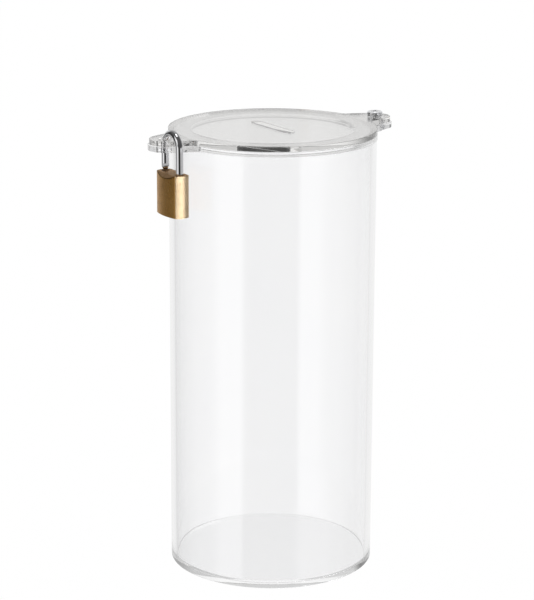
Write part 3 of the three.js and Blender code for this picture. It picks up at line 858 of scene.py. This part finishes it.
rod = finish_piece(shackle(), "lock_shackle", "chromed_shackle", CHROME, "padlock_shackle")


# ------------------------------------------------------------------ padlock case
def soft_min(a, b, k):
    """Smaller of two lengths, rounded over k where they meet."""
    h = max(k - abs(a - b), 0.0) / k
    return min(a, b) - h * h * k / 4


def case_section(inset, limit):
    """Outline of the case, counter-clockwise, shrunk by inset, its broad sides kept within limit of the middle plane."""
    pts = []

    def side(n, at):
        for i in range(1, n):
            t = -1 + 2 * i / n
            pts.append(at(t * (1 - 0.06)))

    def corner(sx, sy):
        v = Vector((sx * CASE_H, sy * CASE_A))
        broad = Vector((sx * 2 * CASE_BELLY, -sy * CASE_A)).normalized()
        narrow = Vector((-sx * CASE_H, sy * 2 * CASE_CROWN)).normalized()
        half = math.acos(broad.dot(narrow)) / 2
        c = v + (broad + narrow).normalized() * (CASE_CORNER / math.sin(half))
        cut_at = CASE_CORNER / math.tan(half)
        ends = []
        for t in (broad, narrow):
            q = v + t * cut_at - c
            ends.append(math.atan2(q.y, q.x))
        a0, a1 = ends if sx * sy > 0 else reversed(ends)
        if a1 < a0:
            a1 += 2 * math.pi
        for i in range(11):
            a = a0 + (a1 - a0) * i / 10
            pts.append((c.x + CASE_CORNER * math.cos(a), c.y + CASE_CORNER * math.sin(a), math.cos(a), math.sin(a)))

    def on_broad(sx):
        def at(t):
            n = Vector((sx * 1.0, t * sx * 2 * CASE_BELLY / CASE_A)).normalized() if sx > 0 else Vector((-1.0, t * -2 * CASE_BELLY / CASE_A)).normalized()
            return (sx * (CASE_H + CASE_BELLY * (1 - t * t)), sx * CASE_A * t, n.x, n.y)
        return at

    def on_narrow(sy):
        def at(t):
            n = Vector((-sy * t * 2 * CASE_CROWN / CASE_H, sy)).normalized()
            return (-sy * CASE_H * t, sy * (CASE_A + CASE_CROWN * (1 - t * t)), n.x, n.y)
        return at

    side(40, on_broad(1))
    corner(1, 1)
    side(20, on_narrow(1))
    corner(-1, 1)
    side(40, on_broad(-1))
    corner(-1, -1)
    side(20, on_narrow(-1))
    corner(1, -1)
    out = []
    for x, y, u, v in pts:
        x, y = x - inset * u, y - inset * v
        w = soft_min(abs(x), limit, 0.22)
        out.append((LOCK_X + math.copysign(w, x), CASE_Y + y))
    return out


def case_body():
    e = 0.3
    rows = []      # z, inset, limit
    far = CASE_H + CASE_BELLY + 1.0
    for k in range(7):
        a = math.pi / 2 * k / 6
        rows.append((CASE_Z0 + e - e * math.cos(a), e - e * math.sin(a), far))
    z = CASE_Z0 + e
    for z in (184, 187, 190, 193, 196, 198.5):
        rows.append((z, 0.0, far))
    z = CASE_Z1 - CASE_BELLY * CASE_SLOPE - 0.6
    while z < CASE_Z1 - e - 0.01:
        rows.append((z, 0.0, CASE_H + (CASE_Z1 - z) / CASE_SLOPE))
        z += 0.045
    top = 0.22
    for k in range(9):
        a = math.pi / 2 * k / 8
        z = CASE_Z1 - e + e * math.sin(a)
        inset = e - e * math.cos(a)
        t = max(0.0, (z - (CASE_Z1 - top)) / top)
        # the facet rounds over into the top
        rows.append((z, inset, CASE_H + (CASE_Z1 - z) / CASE_SLOPE - 0.10 * t * t - 0.05 * t))
    verts, faces = [], []
    count = None
    for z, inset, limit in rows:
        sec = case_section(inset, limit)
        count = len(sec)
        verts += [(x, y, z) for x, y in sec]
    for i in range(len(rows) - 1):
        for j in range(count):
            k = (j + 1) % count
            faces.append((i * count + j, i * count + k, (i + 1) * count + k, (i + 1) * count + j))
    faces.append(tuple(reversed(range(count))))
    last = (len(rows) - 1) * count
    faces.append(tuple(range(last, last + count)))
    o = raw_object("padlock_body", verts, faces)
    cutters = []
    up = lambda x, y: Matrix.Translation((x, y, 0))
    # leg bores with a broken edge
    for y, floor_z in ((TOE_Y, 196.5), (HEEL_Y, 184.7)):
        cutters.append(revolved_raw("b", [(0, floor_z), (2.02, floor_z), (2.02, CASE_Z1 - 0.2), (2.28, CASE_Z1 + 0.06), (2.28, CASE_Z1 + 2), (0, CASE_Z1 + 2)], 64, up(LOCK_X, y)))
    # cylinder bore
    cutters.append(revolved_raw("b", [(0, 181), (2.95, 181), (2.95, CASE_Z0 - 0.05), (2.62, CASE_Z0 + 0.25), (2.62, 200.3), (0, 200.3)], 64, up(LOCK_X, PLUG_Y)))
    # way of the bolt from the cylinder bore to the toe bore, and the pocket of its spring
    y0, y1 = PLUG_Y + 1.5, TOE_Y - 1.2
    pts = [(LOCK_X + sx * 1.6, y, z) for z in (198.35, 200.05) for sx, y in ((-1, y0), (1, y0), (1, y1), (-1, y1))]
    cutters.append(raw_object("b", pts, [(3, 2, 1, 0), (4, 5, 6, 7), (0, 1, 5, 4), (1, 2, 6, 5), (2, 3, 7, 6), (3, 0, 4, 7)]))
    m = Matrix.Translation((LOCK_X, 0, 199.2)) @ Matrix.Rotation(-math.pi / 2, 4, "X")
    cutters.append(revolved_raw("b", [(0, PLUG_Y - 4.2), (0.85, PLUG_Y - 4.2), (0.85, PLUG_Y - 1.5), (0, PLUG_Y - 1.5)], 32, m))
    # pin chambers, from the +Y side
    for z in PIN_Z:
        m = Matrix.Translation((LOCK_X, 0, z)) @ Matrix.Rotation(-math.pi / 2, 4, "X")
        cutters.append(revolved_raw("b", [(0, PLUG_Y + 1.0), (0.84, PLUG_Y + 1.0), (0.84, CASE_Y1 + 1), (0, CASE_Y1 + 1)], 40, m))
    # retaining pins, from the +X side
    for y, z, r in ((HEEL_PIN_Y, HEEL_PIN_Z, 0.64), (PLUG_PIN_Y, PLUG_PIN_Z, 0.54)):
        m = Matrix.Translation((0, y, z)) @ Matrix.Rotation(math.pi / 2, 4, "Y")
        cutters.append(revolved_raw("b", [(0, LOCK_X - 2.4), (r, LOCK_X - 2.4), (r, LOCK_X + 7), (0, LOCK_X + 7)], 40, m))
    cut(o, cutters)
    return clean_shade(o, 34)


def pin_end(y):
    return CASE_H + CASE_BELLY * (1 - ((y - CASE_Y) / CASE_A) ** 2) - 0.12


def flush_pin(name, r, a, b, place, dome=0.04):
    """Small pin, its visible end slightly domed with a rounded edge; local Z runs from a to b."""
    return revolved_raw(name, [(0, a), (r, a), (r, b - 0.12), (r - 0.04, b - 0.05), (r - 0.12, b - 0.01), (r * 0.5, b + dome * 0.4), (0, b + dome * 0.5)], 40, place)


body = finish_piece(case_body(), "lock_case", "brass", BRASS, "padlock_case")
for i, z in enumerate(PIN_Z):
    place = Matrix.Translation((LOCK_X, 0, z)) @ Matrix.Rotation(-math.pi / 2, 4, "X")
    p = clean_shade(flush_pin(f"chamber_cap_{i + 1}", 0.8, CASE_Y1 - 1.25, CASE_Y1 - 0.08, place), 30, 0.001)
    finish_piece(p, "lock_case", "brass", BRASS, f"chamber_plug_{i + 1}")
for name, node, y, z, r in (("heel_pin_end", "heel_retaining_pin", HEEL_PIN_Y, HEEL_PIN_Z, 0.6), ("plug_pin_end", "plug_retaining_pin", PLUG_PIN_Y, PLUG_PIN_Z, 0.5)):
    place = Matrix.Translation((0, y, z)) @ Matrix.Rotation(math.pi / 2, 4, "Y")
    p = clean_shade(flush_pin(name, r, LOCK_X - 2.2, LOCK_X + pin_end(y) - 0.02, place), 30, 0.001)
    finish_piece(p, "lock_case", "lock_steel", STEEL, node)


# ------------------------------------------------------------------ hidden pieces keep their CAD shapes
for node, o in frame["nodes"].items():
    if o.hide_render:
        continue
    o.data.materials.clear()
    o.data.materials.append(BRASS if node == "cylinder_plug" or node.startswith("key_pin") else STEEL)

# ------------------------------------------------------------------ camera, at the photograph's viewing angle
F_PX, PITCH, ROLL, YAW, TURN = 2222.4, math.radians(15.02), math.radians(0.279), math.radians(-0.117), math.radians(-31.7)
CAM_AT = Vector((0.0, -1051.68, 412.96)) * MM


def camera():
    fwd = Vector((0, math.cos(PITCH), -math.sin(PITCH)))
    right = Vector((1, 0, 0))
    upv = right.cross(fwd)
    f = fwd * math.cos(YAW) + right * math.sin(YAW)
    r = right * math.cos(YAW) - fwd * math.sin(YAW)
    rr = r * math.cos(ROLL) + upv * math.sin(ROLL)
    uu = -r * math.sin(ROLL) + upv * math.cos(ROLL)
    rot = Matrix.Rotation(TURN, 3, "Z")
    f, rr, uu, at = rot @ f, rot @ rr, rot @ uu, rot @ CAM_AT
    cam = bpy.data.cameras.new("camera")
    cam.sensor_width = 36.0
    cam.lens = F_PX * 36.0 / 600.0
    cam.clip_start, cam.clip_end = 0.01, 100
    cam.shift_x, cam.shift_y = -0.5 / 600, 0.5 / 600
    o = bpy.data.objects.new("camera", cam)
    bpy.context.scene.collection.objects.link(o)
    m = Matrix((rr, uu, -f)).transposed().to_4x4()
    m.translation = at
    o.matrix_world = m
    bpy.context.scene.camera = o
    return at


cam_at = camera()
to_cam = Vector((cam_at.x, cam_at.y, 0)).normalized()
cam_right = Vector((-to_cam.y, to_cam.x, 0))


# ------------------------------------------------------------------ floor and light
def floor():
    size = 30.0
    o = raw_object("floor", [(-size / MM, -size / MM, -0.05), (size / MM, -size / MM, -0.05), (size / MM, size / MM, -0.05), (-size / MM, size / MM, -0.05)], [(0, 1, 2, 3)])
    m = bpy.data.materials.new("pale_floor")
    m.use_nodes = True
    k = Nodes(m.node_tree)
    out = k.add("ShaderNodeOutputMaterial")
    diffuse = k.add("ShaderNodeBsdfDiffuse")
    glow = k.add("ShaderNodeEmission")
    both = k.add("ShaderNodeAddShader")
    clear = k.add("ShaderNodeBsdfTransparent")
    pick = k.add("ShaderNodeMixShader")
    path = k.add("ShaderNodeLightPath")
    geo = k.add("ShaderNodeNewGeometry")
    diffuse.inputs["Color"].default_value = (0.6, 0.6, 0.6, 1)
    glow.inputs["Color"].default_value = (1, 1, 1, 1)
    glow.inputs["Strength"].default_value = 0.40
    k.link(diffuse.outputs[0], both.inputs[0])
    k.link(glow.outputs[0], both.inputs[1])
    # reflections see the dim room in front of the table instead of an endless floor; from below the floor is open
    away = k.math("MAXIMUM", k.math("GREATER_THAN", path.outputs["Glossy Depth"], 0.5), geo.outputs["Backfacing"])
    k.link(away, pick.inputs[0])
    k.link(both.outputs[0], pick.inputs[1])
    k.link(clear.outputs[0], pick.inputs[2])
    k.link(pick.outputs[0], out.inputs["Surface"])
    o.data.materials.append(m)
    return o


floor_plane = floor()


def world():
    w = bpy.data.worlds.new("studio")
    bpy.context.scene.world = w
    w.use_nodes = True
    k = Nodes(w.node_tree)
    out = k.add("ShaderNodeOutputWorld")
    bg = k.add("ShaderNodeBackground")
    k.link(bg.outputs[0], out.inputs["Surface"])
    d = k.add("ShaderNodeTexCoord").outputs["Generated"]

    def dot(vec):
        n = k.add("ShaderNodeVectorMath")
        n.operation = "DOT_PRODUCT"
        k.link(d, n.inputs[0])
        n.inputs[1].default_value = vec
        return n.outputs["Value"]

    front, side, up = dot(tuple(to_cam)), dot(tuple(cam_right)), dot((0, 0, 1))
    az = k.math("MULTIPLY_ADD", k.math("ARCTAN2", side, front), 1 / (2 * math.pi), 0.5)       # 0.5 towards the camera, 0 and 1 behind
    el = k.math("MULTIPLY", k.math("ARCSINE", up), 180 / math.pi)                              # degrees

    def P(deg):
        return deg / 360 + 0.5

    # brightness round the horizon, a little under it
    level = k.ramp(az, [(P(a), v) for a, v in (
        (-180, 0.90), (-152, 0.86), (-138, 0.50), (-126, 0.08), (-112, 0.02), (-88, 0.04), (-78, 0.55), (-68, 0.85), (-36, 0.92), (-32, 0.03),
        (22, 0.03), (36, 0.80), (56, 0.66), (68, 0.46), (92, 0.40), (122, 0.48), (138, 0.62), (152, 0.86), (180, 0.90))])
    # the table's reflection further down
    table = k.ramp(az, [(P(a), v) for a, v in (
        (-180, 0.88), (-150, 0.84), (-138, 0.58), (-126, 0.46), (-114, 0.33), (-98, 0.40), (-76, 0.38), (-66, 0.60), (-60, 0.90), (-36, 0.90), (-31, 0.03),
        (24, 0.03), (34, 0.42), (60, 0.40), (92, 0.44), (112, 0.50), (124, 0.62), (134, 0.74), (150, 0.84), (180, 0.88))])
    low = k.mix(k.remap(el, -9.5, -12.5, 0.0, 1.0, True), level, table)
    # still lower: dark to the left, bright to the right
    deep = k.ramp(az, [(P(a), v) for a, v in (
        (-180, 0.9), (-156, 0.8), (-142, 0.12), (-60, 0.12), (-40, 0.35), (-10, 0.30), (2, 0.5), (12, 7.0), (104, 7.0), (120, 1.2), (150, 0.85), (180, 0.9))])
    deep = k.mix(k.remap(el, -46, -56, 0.0, 1.0, True), deep, 0.85)
    low = k.mix(k.remap(el, -22, -30, 0.0, 1.0, True), low, deep)
    # above the horizon: the sweep falls off behind, the room is dim, a soft box stands to the left, one hangs overhead
    sweep = k.ramp(az, [(P(a), v) for a, v in ((-180, 0.60), (-146, 0.62), (-134, 0.62), (-124, 0.05), (-80, 0.04), (80, 0.08), (110, 0.20), (140, 0.54), (180, 0.60))])
    boxes = k.ramp(az, [(P(a), v) for a, v in (
        (-180, 0.0), (-84, 0.0), (-76, 0.8), (-38, 0.9), (-33, 0.0), (180, 0.0))])
    box_h = k.math("MULTIPLY", k.remap(el, 6, 16, 0.0, 1.0, True), k.remap(el, 38, 46, 1.0, 0.0, True))
    room = k.ramp(az, [(P(a), v) for a, v in ((-180, 0.34), (-146, 0.30), (-128, 0.12), (-80, 0.10), (80, 0.08), (110, 0.14), (140, 0.30), (180, 0.34))])
    sweep = k.mix(k.remap(el, 16, 44, 0.0, 1.0, True), sweep, room)
    high = k.math("MULTIPLY_ADD", boxes, box_h, sweep)
    over = k.remap(el, 75, 83, 0.0, 2.5, True)
    high = k.math("ADD", high, over)
    studio = k.mix(k.remap(el, 3.0, 9.5, 0.0, 1.0, True), low, high)
    # what is seen directly, or straight through clear pieces, is the pale sweep itself
    path = k.add("ShaderNodeLightPath")
    plain = k.ramp(k.remap(el, -10, 60, 0.0, 1.0), [(0.0, 1.0), (0.3, 0.96), (1.0, 0.80)])
    reflected = k.math("GREATER_THAN", path.outputs["Glossy Depth"], 0.5)
    shown = k.mix(reflected, plain, studio)
    shown = k.mix(path.outputs["Is Diffuse Ray"], shown, 1.0)
    k.link(shown, bg.inputs["Color"])
    bg.inputs["Strength"].default_value = 1.0
    w.cycles.sampling_method = "NONE"
    return w


world()

scene = bpy.context.scene
scene.view_settings.view_transform = "Standard"
scene.view_settings.look = "None"
scene.cycles.max_bounces = 64
scene.cycles.transmission_bounces = 64
scene.cycles.glossy_bounces = 48
scene.cycles.diffuse_bounces = 2
scene.cycles.transparent_max_bounces = 16
scene.cycles.sample_clamp_indirect = 1.1
for o in (vessel, lid):
    o.visible_diffuse = False
    o.visible_shadow = False
